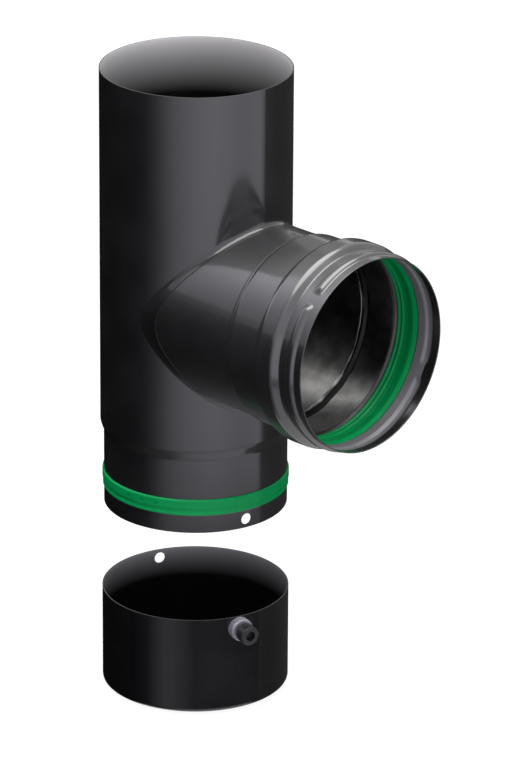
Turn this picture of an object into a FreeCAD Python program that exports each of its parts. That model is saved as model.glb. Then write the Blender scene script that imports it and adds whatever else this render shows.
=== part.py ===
# Stove pipe tee for an 80 mm flue: a thin steel run tube with a side branch, whose rolled socket and lower
# spigot carry silicone gaskets, and a drawn inspection cap with a locking screw, shown taken off below.
# Millimetres and degrees. The origin is where the centre lines of the run and the branch cross, +Z is
# along the run towards its plain upper end, and +X is along the branch towards its socket.
import FreeCAD, Part
import os
import re
import Sketcher

# Driving sizes: alias, value, what it is
SIZES = [
    ("wall", 0.5, "thickness of every steel sheet"),
    ("bend_radius", 0.8, "inside radius of the rolled bends"),
    ("bead_slope", 45, "slope of the flanks of beads and grooves"),
    ("run_radius", 40, "outside of the run tube"),
    ("top_reach", 98.7, "plain upper end above the branch centre line"),
    ("bottom_reach", 92.2, "spigot end below the branch centre line"),
    ("spigot_radius", 38.55, "outside of the lower spigot"),
    ("spigot_length", 32.5, "spigot end to the start of the step"),
    ("step_length", 4, "axial length of the step up to the run tube"),
    ("step_round", 3, "inside radius of the bends of the step"),
    ("groove_centre", 11.4, "gasket groove above the spigot end"),
    ("groove_floor_width", 3.6, "width of the groove's floor"),
    ("groove_depth", 1.5, "depth of the groove"),
    ("hang_hole_radius", 2.4, "hanging holes left from painting"),
    ("spigot_hole_height", 3.8, "hanging hole above the spigot end"),
    ("spigot_hole_angle", -11.3, "hanging hole of the spigot, from the branch"),
    ("neck_radius", 39.3, "outside of the branch neck"),
    ("lip_round", 2.4, "outside radius of the pulled lip at the branch"),
    ("lip_reach", 2.5, "seam of lip and neck, over the outside of the run tube"),
    ("neck_reach", 57.75, "seam of neck and socket, from the run's centre line"),
    ("cup_land", 1.2, "plain start of the socket at its seam"),
    ("cup_bore", 40.2, "inside radius of the cup for the next pipe"),
    ("cup_depth", 17.3, "seam to the start of the gasket chamber"),
    ("chamber_rise", 2.8, "gasket chamber over the cup"),
    ("chamber_width", 13.9, "foot to foot of the gasket chamber"),
    ("chamber_round", 2.4, "inside radius of the chamber's outer bends"),
    ("waist_rise", 0.3, "waist and lip over the cup"),
    ("waist_width", 3.6, "waist between chamber and bayonet bead"),
    ("bayonet_rise", 1.1, "bayonet bead over the waist"),
    ("bayonet_width", 4.8, "foot to foot of the bayonet bead"),
    ("bayonet_round", 1.4, "inside radius of the bayonet bead's crest"),
    ("lip_width", 3.6, "bayonet bead to the socket's edge"),
    ("notch_angle", -26.5, "first bayonet notch, turned from +Z towards -Y"),
    ("notch_turn", 159, "angle from the first notch to the second"),
    ("notch_spread", 8, "angle of a notch's flat floor"),
    ("notch_flank", 1.6, "angle of each end wall of a notch"),
    ("seat_gap", 0.1, "gasket to the steel that holds it"),
    ("seal_crest", 40, "branch gasket's ribs, at the radius of the pipe that they press on"),
    ("seal_rib", 0.8, "height of the ribs of the branch gasket"),
    ("seal_inset", 1.65, "chamber foot to the gasket's inner edge"),
    ("rib_pitch", 2.2, "distance of the two narrow ribs"),
    ("rib_foot", 0.88, "half the width of a narrow rib's foot"),
    ("rib_drop", 0.2, "narrow ribs' crests outside the broad lip's crest"),
    ("rib_round", 0.25, "rounding of the narrow ribs"),
    ("lip_seal_run", 2, "gasket's outer edge to the crest of its broad sealing lip"),
    ("lip_seal_width", 5.6, "gasket's outer edge to the inner foot of the broad lip"),
    ("lip_seal_round", 1.2, "rounding of the broad sealing lip"),
    ("ring_rise", 0.7, "crown of the spigot gasket over the spigot's outside"),
    ("ring_radius", "=spigot_radius + ring_rise", "crown of the spigot gasket"),
    ("ring_width", 7.2, "spigot gasket, edge to edge"),
    ("crown_edge", 0.36, "lower end of the crown, below the gasket's middle"),
    ("valley_top", 1.3, "upper end of the valley's floor, below the gasket's middle"),
    ("valley_bottom", 2.16, "lower end of the valley's floor, below the gasket's middle"),
    ("edge_lip_top", 2.74, "upper end of the thin lower lip, below the gasket's middle"),
    ("edge_lip_drop", 0.22, "thin lower lip under the crown"),
    ("ring_valley", 0.45, "depth of the valley under the crown"),
    ("ring_round", 0.5, "rounding of the spigot gasket's crown"),
    ("dimple_radius", 0.7, "moulded dimples on the spigot gasket"),
    ("dimple_depth", 0.35, "depth of the dimples"),
    ("dimple_lift", 1.1, "dimples above the gasket's middle"),
    ("dimple_angle", -89.9, "first dimple, from the branch"),
    ("dimple_pitch", 10.5, "angle from dimple to dimple"),
    ("cap_clearance", 0.4, "cap's inside to the spigot's outside"),
    ("cap_depth", 42.4, "outside height of the cap"),
    ("cap_corner", 1.2, "inside radius at the cap's floor"),
    ("cap_gap", 39.4, "cap's rim below the spigot end, as laid out"),
    ("cap_hole_drop", 3.9, "hanging hole below the cap's rim"),
    ("cap_hole_angle", 158.7, "hanging hole of the cap, from the branch"),
    ("lock_angle", -16.9, "nut and screw on the cap, from the branch"),
    ("lock_drop", 5.1, "nut and screw below the cap's rim"),
    ("nut_radius", 4.9, "outside of the round weld nut"),
    ("nut_height", 3.5, "nut's face over the cap's wall"),
    ("nut_chamfer", 0.6, "chamfer at the nut's face"),
    ("screw_radius", 2.4, "shank of the locking screw"),
    ("screw_clearance", 0.1, "shank to the nut's bore"),
    ("screw_standoff", 1.75, "head to the nut's face, screw backed off"),
    ("tip_recess", 1, "tip of the screw from the cap's outside, backed off"),
    ("head_radius", 4.1, "screw head"),
    ("head_height", 5, "height of the screw head"),
    ("head_chamfer", 0.4, "chamfer at the screw head's face"),
    ("key_flats", 4, "hexagon socket, across its flats"),
    ("key_depth", 2.5, "depth of the hexagon socket"),
]
ALIASES = {alias for alias, value, note in SIZES}
VECTOR = FreeCAD.Vector
# Room that a cut takes past the face it opens
OVERRUN = 5.0
# How near two numbers are taken as the same: on turned edges, on saddle edges, and the least cut of a hole
NEAR = 1e-4
NEAR_SADDLE = 0.01
LEAST_CUT = 1.0
# Where the solver starts before the sizes place a sketch's points
START_ACROSS = 40
START_STEP = 10
DIMPLES = 3

doc = FreeCAD.newDocument("stove_pipe_tee")


def fill_sheet():
    """Write the driving sizes into the document's spreadsheet."""
    sheet = doc.addObject("Spreadsheet::Sheet", "sizes")
    for row, (alias, value, note) in enumerate(SIZES, start=1):
        sheet.set(f"A{row}", note)
        sheet.set(f"B{row}", str(value))
        sheet.setAlias(f"B{row}", alias)
    doc.recompute()
    return sheet


def bound(text):
    """Expression in which each alias points at its cell of the spreadsheet."""
    return re.sub(r"[a-z_]+", lambda word: f"sizes.{word[0]}" if word[0] in ALIASES else word[0], text)


def new_body(name):
    """PartDesign body whose label names the sub-part."""
    body = doc.addObject("PartDesign::Body", name)
    body.Label = name
    return body


def plane_sketch(body, name, role, turn_axis=None, turn=None):
    """Sketch on one of the body's origin planes, turned about its own axis by a bound angle."""
    sketch = body.newObject("Sketcher::SketchObject", name)
    plane = next(part for part in body.Origin.OriginFeatures if part.Role == role)
    sketch.AttachmentSupport = [(plane, "")]
    sketch.MapMode = "FlatFace"
    if turn is not None:
        sketch.AttachmentOffset = FreeCAD.Placement(VECTOR(), FreeCAD.Rotation(turn_axis, 10))
        sketch.setExpression("AttachmentOffset.Rotation.Angle", bound(turn))
    return sketch


def fix_point(sketch, name, geometry, place, across, up):
    """Bind one point of a sketch to its two distances from the sketch's origin."""
    for kind, axis, label, text in (("DistanceX", -2, "across", across), ("DistanceY", -1, "up", up)):
        if text == "0":
            sketch.addConstraint(Sketcher.Constraint("PointOnObject", geometry, place, axis))
        else:
            number = sketch.addConstraint(Sketcher.Constraint(kind, -1, 1, geometry, place, 10.0))
            sketch.renameConstraint(number, f"{name}_{label}")
            sketch.setExpression(f"Constraints.{name}_{label}", bound(text))


def outline(sketch, corners):
    """Draw a closed outline of straight lines through corners given as pairs of expressions."""
    count = len(corners)
    rough = [VECTOR(START_ACROSS + START_STEP * (n % 2), START_STEP / 2 * n, 0) for n in range(count)]
    for n in range(count):
        sketch.addGeometry(Part.LineSegment(rough[n], rough[(n + 1) % count]), False)
    for n in range(count):
        sketch.addConstraint(Sketcher.Constraint("Coincident", n, 2, (n + 1) % count, 1))
    for n, (across, up) in enumerate(corners):
        fix_point(sketch, f"corner{n}", n, 1, across, up)
    doc.recompute()


def ring(sketch, across, up, radius):
    """Draw a circle with a bound centre and radius."""
    sketch.addGeometry(Part.Circle(VECTOR(0, 0, 0), VECTOR(0, 0, 1), 5.0), False)
    fix_point(sketch, "centre", 0, 3, across, up)
    number = sketch.addConstraint(Sketcher.Constraint("Radius", 0, 5.0))
    sketch.renameConstraint(number, "radius")
    sketch.setExpression("Constraints.radius", bound(radius))
    doc.recompute()


def turned(body, kind, name, sketch, axis, angle=None):
    """Revolution or groove of a sketch about one of its axes, over a bound angle about its plane."""
    feature = body.newObject(f"PartDesign::{kind}", name)
    feature.Profile = sketch
    feature.ReferenceAxis = (sketch, [axis])
    if angle is None:
        feature.Angle = 360
    else:
        feature.Midplane = True
        feature.setExpression("Angle", bound(angle))
    sketch.Visibility = False
    doc.recompute()
    return feature


def swept(body, kind, name, sketch, length, reverse=False):
    """Pad or pocket of a sketch over a bound length."""
    feature = body.newObject(f"PartDesign::{kind}", name)
    feature.Profile = sketch
    feature.setExpression("Length", bound(length))
    feature.Reversed = reverse
    sketch.Visibility = False
    doc.recompute()
    return feature


def corner_point(sketch, number):
    """Distances of an outline's corner from the sketch's origin."""
    point = sketch.getPoint(number, 1)
    return point.x, point.y


def swept_edges(feature, sketch, axis, numbers):
    """Names of the circles that corners of the outline sweep about the Z or X axis."""
    names = []
    wanted = [corner_point(sketch, number) for number in numbers]
    for index, edge in enumerate(feature.Shape.Edges, start=1):
        if not isinstance(edge.Curve, Part.Circle):
            continue
        centre = edge.Curve.Center
        along, off = (centre.z, centre.x) if axis == "Z" else (centre.x, centre.z)
        here = (edge.Curve.Radius, along) if axis == "Z" else (along, edge.Curve.Radius)
        if abs(off) > NEAR or abs(centre.y) > NEAR:
            continue
        if any(abs(here[0] - x) < NEAR and abs(here[1] - y) < NEAR for x, y in wanted):
            names.append(f"Edge{index}")
    return names


def rounded(body, name, edges, radius):
    """Fillet of a bound radius on edges of the body's last feature."""
    base = body.Tip
    feature = body.newObject("PartDesign::Fillet", name)
    feature.Base = (base, edges)
    feature.setExpression("Radius", bound(radius))
    doc.recompute()
    return feature


def saddle_edges(feature, radius):
    """Names of the curved edges where a branch of this radius meets the run."""
    names = []
    for index, edge in enumerate(feature.Shape.Edges, start=1):
        if isinstance(edge.Curve, (Part.Line, Part.Circle)):
            continue
        points = edge.discretize(9)
        if all(abs((p.y ** 2 + p.z ** 2) ** 0.5 - radius) < NEAR_SADDLE for p in points):
            names.append(f"Edge{index}")
    return names


def radial_hole(body, name, angle, height, radius, reach):
    """Round hole through one side of an upright tube, square to its wall."""
    before = body.Shape.Volume
    sketch = plane_sketch(body, f"{name}_circle", "YZ_Plane", VECTOR(0, 1, 0), angle)
    ring(sketch, "0", height, radius)
    hole = swept(body, "Pocket", name, sketch, reach, reverse=True)
    if body.Shape.Volume > before - LEAST_CUT:
        raise RuntimeError(f"{name} cuts nothing")
    return hole


def sheet_corners(bends, along):
    """Closed outline of a rolled sheet from the bends of its outside.

    Each bend is (position, radius, lean): lean is 1 on a flank that rises along the axis, -1 on one that
    falls and 0 at an end. The inside runs one wall nearer the axis, with its bends moved along.
    """
    outside = [(place, radius) for place, radius, lean in bends]
    shift = "wall * tan(bead_slope / 2)"
    inside = []
    for place, radius, lean in reversed(bends):
        moved = {1: f"{place} + {shift}", -1: f"{place} - {shift}", 0: place}[lean]
        inside.append((moved, f"{radius} - wall"))
    corners = outside + inside
    if along == "Z":
        corners = [(radius, place) for place, radius in corners]
    return corners


def round_bends(body, name, sketch, axis, total, bends, inner_radius):
    """Round both sides of a rolled sheet's bends: crests are convex outside, feet are concave."""
    for side, numbers in (("crest", [n for n, crest in bends if crest]),
                          ("foot", [n for n, crest in bends if not crest])):
        outer = numbers
        inner = [total - 1 - n for n in numbers]
        wide, tight = (outer, inner) if side == "crest" else (inner, outer)
        if numbers:
            names = swept_edges(body.Tip, sketch, axis, wide)
            rounded(body, f"{name}_{side}_wide", names, f"{inner_radius} + wall")
            names = swept_edges(body.Tip, sketch, axis, tight)
            rounded(body, f"{name}_{side}_tight", names, inner_radius)


# Heights along the run, in the sheet's terms
SPIGOT_END = "-bottom_reach"
STEP_START = "-bottom_reach + spigot_length"
STEP_END = "-bottom_reach + spigot_length + step_length"
GROOVE_MIDDLE = "-bottom_reach + groove_centre"
GROOVE_RUN = "groove_depth / tan(bead_slope)"
GROOVE_FLOOR = "spigot_radius - groove_depth"
# Seam of the pulled lip and the neck, from the run's centre line
LIP_SEAM = "run_radius + lip_reach"
LIP_ROOM = "neck_radius + lip_round + wall"


def run_profile():
    """Outline of the run tube's wall, as distances from its centre line and heights."""
    floor = "groove_floor_width / 2"
    inner_shift = "wall * tan(bead_slope / 2)"
    step_shift = "wall * tan(atan((run_radius - spigot_radius) / step_length) / 2)"
    outside = [
        ("spigot_radius", SPIGOT_END),
        ("spigot_radius", f"{GROOVE_MIDDLE} - {floor} - {GROOVE_RUN}"),
        (GROOVE_FLOOR, f"{GROOVE_MIDDLE} - {floor}"),
        (GROOVE_FLOOR, f"{GROOVE_MIDDLE} + {floor}"),
        ("spigot_radius", f"{GROOVE_MIDDLE} + {floor} + {GROOVE_RUN}"),
        ("spigot_radius", STEP_START),
        ("run_radius", STEP_END),
        ("run_radius", "top_reach"),
    ]
    inside = [
        ("run_radius - wall", "top_reach"),
        ("run_radius - wall", f"{STEP_END} + {step_shift}"),
        ("spigot_radius - wall", f"{STEP_START} + {step_shift}"),
        ("spigot_radius - wall", f"{GROOVE_MIDDLE} + {floor} + {GROOVE_RUN} + {inner_shift}"),
        (f"{GROOVE_FLOOR} - wall", f"{GROOVE_MIDDLE} + {floor} + {inner_shift}"),
        (f"{GROOVE_FLOOR} - wall", f"{GROOVE_MIDDLE} - {floor} - {inner_shift}"),
        ("spigot_radius - wall", f"{GROOVE_MIDDLE} - {floor} - {GROOVE_RUN} - {inner_shift}"),
        ("spigot_radius - wall", SPIGOT_END),
    ]
    return outside, inside


def run_tube():
    """Run tube: solid form with its branch stump, hollowed, with the pulled lip rounded on both sides."""
    body = new_body("run_tube")
    outside, inside = run_profile()
    skin = plane_sketch(body, "run_outside", "XZ_Plane")
    outline(skin, [("0", SPIGOT_END)] + outside + [("0", "top_reach")])
    turned(body, "Revolution", "run_solid", skin, "V_Axis")
    stump = plane_sketch(body, "stump_circle", "YZ_Plane")
    ring(stump, "0", "0", "neck_radius")
    swept(body, "Pad", "stump", stump, "neck_reach")
    rounded(body, "lip_outside", saddle_edges(body.Tip, float(sheet.neck_radius)), "lip_round")
    rounded(body, "groove_mouth", swept_edges(body.Tip, skin, "Z", [2, 5]), "bend_radius + wall")
    rounded(body, "groove_floor", swept_edges(body.Tip, skin, "Z", [3, 4]), "bend_radius")
    rounded(body, "step_crest", swept_edges(body.Tip, skin, "Z", [7]), "step_round + wall")
    rounded(body, "step_foot", swept_edges(body.Tip, skin, "Z", [6]), "step_round")
    core = plane_sketch(body, "run_inside", "XZ_Plane")
    outline(core, [("0", f"top_reach + {OVERRUN}"), ("run_radius - wall", f"top_reach + {OVERRUN}")]
            + inside[1:-1] + [("spigot_radius - wall", f"{SPIGOT_END} - {OVERRUN}"),
                              ("0", f"{SPIGOT_END} - {OVERRUN}")])
    turned(body, "Groove", "run_hollow", core, "V_Axis")
    bore = plane_sketch(body, "branch_bore_circle", "YZ_Plane")
    ring(bore, "0", "0", "neck_radius - wall")
    swept(body, "Pocket", "branch_bore", bore, f"neck_reach + {OVERRUN}", reverse=True)
    rounded(body, "lip_inside", saddle_edges(body.Tip, float(sheet.neck_radius) - float(sheet.wall)),
            "lip_round + wall")
    rounded(body, "groove_mouth_inside", swept_edges(body.Tip, core, "Z", [4, 7]), "bend_radius")
    rounded(body, "groove_floor_inside", swept_edges(body.Tip, core, "Z", [5, 6]), "bend_radius + wall")
    rounded(body, "step_crest_inside", swept_edges(body.Tip, core, "Z", [2]), "step_round")
    rounded(body, "step_foot_inside", swept_edges(body.Tip, core, "Z", [3]), "step_round + wall")
    trim = plane_sketch(body, "lip_trim_outline", "XZ_Plane")
    beyond = f"neck_reach + {LIP_SEAM}"
    outline(trim, [(LIP_SEAM, LIP_ROOM), (beyond, LIP_ROOM), (beyond, f"-({LIP_ROOM})"),
                   (LIP_SEAM, f"-({LIP_ROOM})")])
    turned(body, "Groove", "lip_trim", trim, "V_Axis")
    radial_hole(body, "spigot_hole", "spigot_hole_angle", "spigot_hole_height - bottom_reach",
                "hang_hole_radius", f"spigot_radius + {OVERRUN}")
    return body


def branch_neck():
    """Branch neck: a plain stub whose inner end is cut to the saddle of the pulled lip."""
    body = new_body("branch_neck")
    strip = plane_sketch(body, "neck_wall", "XZ_Plane")
    outline(strip, [("0", "neck_radius"), ("neck_reach", "neck_radius"),
                    ("neck_reach", "neck_radius - wall"), ("0", "neck_radius - wall")])
    turned(body, "Revolution", "neck_tube", strip, "H_Axis")
    saddle = plane_sketch(body, "saddle_outline", "XZ_Plane")
    outline(saddle, [("0", f"neck_radius + {OVERRUN}"), (LIP_SEAM, f"neck_radius + {OVERRUN}"),
                     (LIP_SEAM, f"-neck_radius - {OVERRUN}"), ("0", f"-neck_radius - {OVERRUN}")])
    turned(body, "Groove", "saddle", saddle, "V_Axis")
    return body


# Places along the branch, in the sheet's terms
CHAMBER_START = "neck_reach + cup_depth"
CHAMBER_END = "neck_reach + cup_depth + chamber_width"
BAYONET_START = f"{CHAMBER_END} + waist_width"
BAYONET_END = f"{CHAMBER_END} + waist_width + bayonet_width"
SOCKET_END = f"{CHAMBER_END} + waist_width + bayonet_width + lip_width"
CUP = "cup_bore + wall"
CHAMBER = "cup_bore + wall + chamber_rise"
WAIST = "cup_bore + wall + waist_rise"
BAYONET = "cup_bore + wall + waist_rise + bayonet_rise"


def socket_bends():
    """Bends of the socket's outside, from its seam to its edge."""
    joggle = "(cup_bore + wall - neck_radius) / tan(bead_slope)"
    inner_flank = "chamber_rise / tan(bead_slope)"
    outer_flank = "(chamber_rise - waist_rise) / tan(bead_slope)"
    flank = "bayonet_rise / tan(bead_slope)"
    return [
        ("neck_reach", "neck_radius", 0),
        ("neck_reach + cup_land", "neck_radius", 1),
        (f"neck_reach + cup_land + {joggle}", CUP, 1),
        (CHAMBER_START, CUP, 1),
        (f"{CHAMBER_START} + {inner_flank}", CHAMBER, 1),
        (f"{CHAMBER_END} - {outer_flank}", CHAMBER, -1),
        (CHAMBER_END, WAIST, -1),
        (BAYONET_START, WAIST, 1),
        (f"{BAYONET_START} + {flank}", BAYONET, 1),
        (f"{BAYONET_END} - {flank}", BAYONET, -1),
        (BAYONET_END, WAIST, -1),
        (SOCKET_END, WAIST, 0),
    ]


def cut_notch(body, name, angle):
    """Push the bayonet bead in over a short arc: fill it with its end walls, then clear its floor."""
    turn = (VECTOR(1, 0, 0), angle)
    fill = plane_sketch(body, f"{name}_fill_outline", "XZ_Plane", *turn)
    flank = "bayonet_rise / tan(bead_slope)"
    outline(fill, [(BAYONET_START, f"{WAIST} - wall"), (BAYONET_START, WAIST),
                   (f"{BAYONET_START} + {flank}", f"{BAYONET} - wall / 2"),
                   (f"{BAYONET_END} - {flank}", f"{BAYONET} - wall / 2"),
                   (BAYONET_END, WAIST), (BAYONET_END, f"{WAIST} - wall")])
    turned(body, "Revolution", f"{name}_fill", fill, "H_Axis", "notch_spread + 2 * notch_flank")
    clear = plane_sketch(body, f"{name}_clear_outline", "XZ_Plane", *turn)
    outline(clear, [(f"{BAYONET_START} - bend_radius", WAIST), (f"{BAYONET_START} - bend_radius", CHAMBER),
                    (f"{BAYONET_END} + bend_radius", CHAMBER), (f"{BAYONET_END} + bend_radius", WAIST)])
    turned(body, "Groove", f"{name}_clear", clear, "H_Axis", "notch_spread")


def branch_socket():
    """Branch socket: one rolled sheet with cup, gasket chamber, waist, bayonet bead and lip."""
    body = new_body("branch_socket")
    bends = socket_bends()
    total = 2 * len(bends)
    wall_sketch = plane_sketch(body, "socket_wall", "XZ_Plane")
    outline(wall_sketch, sheet_corners(bends, "X"))
    turned(body, "Revolution", "socket_rolled", wall_sketch, "H_Axis")
    round_bends(body, "chamber", wall_sketch, "X", total, [(4, True), (5, True)], "chamber_round")
    round_bends(body, "bayonet", wall_sketch, "X", total, [(8, True), (9, True)], "bayonet_round")
    plain = [(1, False), (2, True), (3, False), (6, False), (7, False), (10, False)]
    round_bends(body, "bend", wall_sketch, "X", total, plain, "bend_radius")
    cut_notch(body, "first_notch", "notch_angle")
    cut_notch(body, "second_notch", "notch_angle + notch_turn")
    return body


def branch_gasket():
    """Branch gasket: fills the chamber, with two narrow ribs and one broad sealing lip."""
    body = new_body("branch_gasket")
    inner = f"{CHAMBER_START} + seal_inset"
    back = f"{CHAMBER} - wall - seat_gap"
    edge = f"{WAIST} - wall - seat_gap"
    shift = "(wall + seat_gap) * tan(bead_slope / 2)"
    inner_flank = "chamber_rise / tan(bead_slope)"
    outer_flank = "(chamber_rise - waist_rise) / tan(bead_slope)"
    valley = "seal_crest + seal_rib"
    rib = "seal_crest + rib_drop"
    heel = f"cup_bore - seat_gap + (seal_inset - {shift}) * tan(bead_slope)"
    outer = f"{CHAMBER_END} - {shift} - ({valley} - ({edge})) / tan(bead_slope)"
    first = f"{inner} + rib_pitch / 2"
    second = f"{first} + rib_pitch"
    section = plane_sketch(body, "branch_gasket_section", "XZ_Plane")
    outline(section, [
        (inner, heel),
        (f"{CHAMBER_START} + {inner_flank} + {shift}", back),
        (f"{CHAMBER_END} - {outer_flank} - {shift}", back),
        (outer, valley),
        (f"{outer} - lip_seal_run", "seal_crest"),
        (f"{outer} - lip_seal_width", valley),
        (f"{second} + rib_foot", valley),
        (second, rib),
        (f"{second} - rib_foot", valley),
        (f"{first} + rib_foot", valley),
        (first, rib),
        (inner, valley),
    ])
    turned(body, "Revolution", "branch_gasket_ring", section, "H_Axis")
    rounded(body, "gasket_back", swept_edges(body.Tip, section, "X", [1, 2]), "chamber_round - seat_gap")
    rounded(body, "rib_tips", swept_edges(body.Tip, section, "X", [7, 10]), "rib_round")
    rounded(body, "sealing_lip", swept_edges(body.Tip, section, "X", [4]), "lip_seal_round")
    return body


def spigot_gasket():
    """Spigot gasket: sits in the rolled groove, with a round crown above a valley and a thin lower lip."""
    body = new_body("spigot_gasket")
    half = "ring_width / 2"
    floor = "groove_floor_width / 2 - seat_gap"
    seat = f"{GROOVE_FLOOR} + seat_gap"
    skin = "spigot_radius + seat_gap"
    flank = "groove_floor_width / 2 + groove_depth / tan(bead_slope)"
    section = plane_sketch(body, "spigot_gasket_section", "XZ_Plane")
    outline(section, [
        (seat, f"{GROOVE_MIDDLE} - {floor}"),
        (seat, f"{GROOVE_MIDDLE} + {floor}"),
        (skin, f"{GROOVE_MIDDLE} + {flank}"),
        (skin, f"{GROOVE_MIDDLE} + {half}"),
        ("ring_radius", f"{GROOVE_MIDDLE} + {half} - (ring_radius - spigot_radius)"),
        ("ring_radius", f"{GROOVE_MIDDLE} - crown_edge"),
        ("ring_radius - ring_valley", f"{GROOVE_MIDDLE} - valley_top"),
        ("ring_radius - ring_valley", f"{GROOVE_MIDDLE} - valley_bottom"),
        ("ring_radius - edge_lip_drop", f"{GROOVE_MIDDLE} - edge_lip_top"),
        ("ring_radius - edge_lip_drop", f"{GROOVE_MIDDLE} - {half} + edge_lip_drop"),
        (skin, f"{GROOVE_MIDDLE} - {half}"),
        (skin, f"{GROOVE_MIDDLE} - {flank}"),
    ])
    turned(body, "Revolution", "spigot_gasket_ring", section, "V_Axis")
    rounded(body, "ring_foot", swept_edges(body.Tip, section, "Z", [0, 1]), "bend_radius - seat_gap")
    rounded(body, "ring_crown", swept_edges(body.Tip, section, "Z", [4, 5]), "ring_round")
    for number in range(DIMPLES):
        name = f"dimple{number}"
        angle = f"(dimple_angle + {number} * dimple_pitch)"
        sketch = plane_sketch(body, f"{name}_circle", "YZ_Plane", VECTOR(0, 1, 0), angle)
        ring(sketch, "0", f"{GROOVE_MIDDLE} + dimple_lift", "dimple_radius")
        bottom = "(ring_radius - dimple_depth)"
        sketch.setExpression("AttachmentOffset.Base.x", bound(f"sin{angle} * {bottom}"))
        sketch.setExpression("AttachmentOffset.Base.z", bound(f"cos{angle} * {bottom}"))
        swept(body, "Pocket", name, sketch, f"{OVERRUN}", reverse=True)
    return body


# The cap as it is laid out, off the spigot
CAP_RIM = "-bottom_reach - cap_gap"
CAP_FLOOR = "-bottom_reach - cap_gap - cap_depth"
CAP_INSIDE = "spigot_radius + cap_clearance"
CAP_OUTSIDE = "spigot_radius + cap_clearance + wall"
LOCK_HEIGHT = "-bottom_reach - cap_gap - lock_drop"


def cap_shell():
    """Cap shell: a deep-drawn cup with a hanging hole and the hole of the locking screw."""
    body = new_body("cap_shell")
    section = plane_sketch(body, "cap_section", "XZ_Plane")
    outline(section, [("0", CAP_FLOOR), (CAP_OUTSIDE, CAP_FLOOR), (CAP_OUTSIDE, CAP_RIM),
                      (CAP_INSIDE, CAP_RIM), (CAP_INSIDE, f"{CAP_FLOOR} + wall"), ("0", f"{CAP_FLOOR} + wall")])
    turned(body, "Revolution", "cap_drawn", section, "V_Axis")
    rounded(body, "cap_corner_outside", swept_edges(body.Tip, section, "Z", [1]), "cap_corner + wall")
    rounded(body, "cap_corner_inside", swept_edges(body.Tip, section, "Z", [4]), "cap_corner")
    reach = f"{CAP_OUTSIDE} + {OVERRUN}"
    radial_hole(body, "cap_hole", "cap_hole_angle", f"{CAP_RIM} - cap_hole_drop", "hang_hole_radius", reach)
    radial_hole(body, "lock_hole", "lock_angle", LOCK_HEIGHT, "screw_radius + screw_clearance", reach)
    return body


def lock_placement(body):
    """Turn a piece made along +X to the angle and height of the cap's lock."""
    body.Placement = FreeCAD.Placement(VECTOR(), FreeCAD.Rotation(VECTOR(0, 0, 1), 10))
    body.setExpression("Placement.Rotation.Angle", bound("lock_angle"))
    body.setExpression("Placement.Base.z", bound(LOCK_HEIGHT))


def cap_nut():
    """Cap nut: a round weld nut whose back is hollowed to the cap's wall."""
    body = new_body("cap_nut")
    face = f"{CAP_OUTSIDE} + nut_height"
    behind = f"{CAP_OUTSIDE} - nut_radius"
    bore = "screw_radius + screw_clearance"
    section = plane_sketch(body, "nut_section", "XZ_Plane")
    outline(section, [(behind, bore), (face, bore), (face, "nut_radius - nut_chamfer"),
                      (f"{face} - nut_chamfer", "nut_radius"), (behind, "nut_radius")])
    turned(body, "Revolution", "nut_turned", section, "H_Axis")
    seat = plane_sketch(body, "nut_seat_circle", "XY_Plane")
    ring(seat, "0", "0", CAP_OUTSIDE)
    cut = swept(body, "Pocket", "nut_seat", seat, f"2 * nut_radius + {OVERRUN}")
    cut.Midplane = True
    lock_placement(body)
    doc.recompute()
    return body


def cap_screw():
    """Cap screw: a socket-head screw, backed off in its nut."""
    body = new_body("cap_screw")
    tip = f"{CAP_OUTSIDE} + tip_recess"
    under = f"{CAP_OUTSIDE} + nut_height + screw_standoff"
    top = f"{under} + head_height"
    section = plane_sketch(body, "screw_section", "XZ_Plane")
    outline(section, [(tip, "0"), (tip, "screw_radius - head_chamfer"), (f"{tip} + head_chamfer", "screw_radius"),
                      (under, "screw_radius"), (under, "head_radius"), (f"{top} - head_chamfer", "head_radius"),
                      (top, "head_radius - head_chamfer"), (top, "0")])
    turned(body, "Revolution", "screw_turned", section, "H_Axis")
    key = plane_sketch(body, "key_outline", "YZ_Plane")
    half = "key_flats / 2"
    point = "key_flats / 2 / cos(30)"
    outline(key, [("0", point), (half, f"{point} / 2"), (half, f"-{point} / 2"), ("0", f"-{point}"),
                  (f"-{half}", f"-{point} / 2"), (f"-{half}", f"{point} / 2")])
    key.AttachmentOffset = FreeCAD.Placement(VECTOR(0, 0, 1), FreeCAD.Rotation())
    key.setExpression("AttachmentOffset.Base.z", bound(f"{top} - key_depth"))
    swept(body, "Pocket", "key_socket", key, f"key_depth + {OVERRUN}", reverse=True)
    lock_placement(body)
    doc.recompute()
    return body


sheet = fill_sheet()
parts = [run_tube(), branch_neck(), branch_socket(), branch_gasket(), spigot_gasket(), cap_shell(),
         cap_nut(), cap_screw()]
doc.recompute()

for item in doc.Objects:
    if "Invalid" in item.State or "Error" in item.State:
        raise RuntimeError(f"{item.Name} failed: {item.State}")
for piece in parts:
    if piece.Shape.isNull() or not piece.Shape.isValid() or len(piece.Shape.Solids) != 1:
        raise RuntimeError(f"{piece.Label} isn't one valid solid")

os.makedirs("parts", exist_ok=True)
for piece in parts:
    piece.Shape.exportStep(f"parts/{piece.Label}.step")
    print(f"{piece.Label}: {piece.Shape.Volume:.1f} mm3")
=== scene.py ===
"""Dress the stove pipe tee: painted and bare steel, gaskets, weld seams, locking screw and studio."""
import logging
import math
from dataclasses import dataclass, field
from enum import Enum

import bmesh
import bpy
from mathutils import Matrix, Vector, noise


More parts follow.
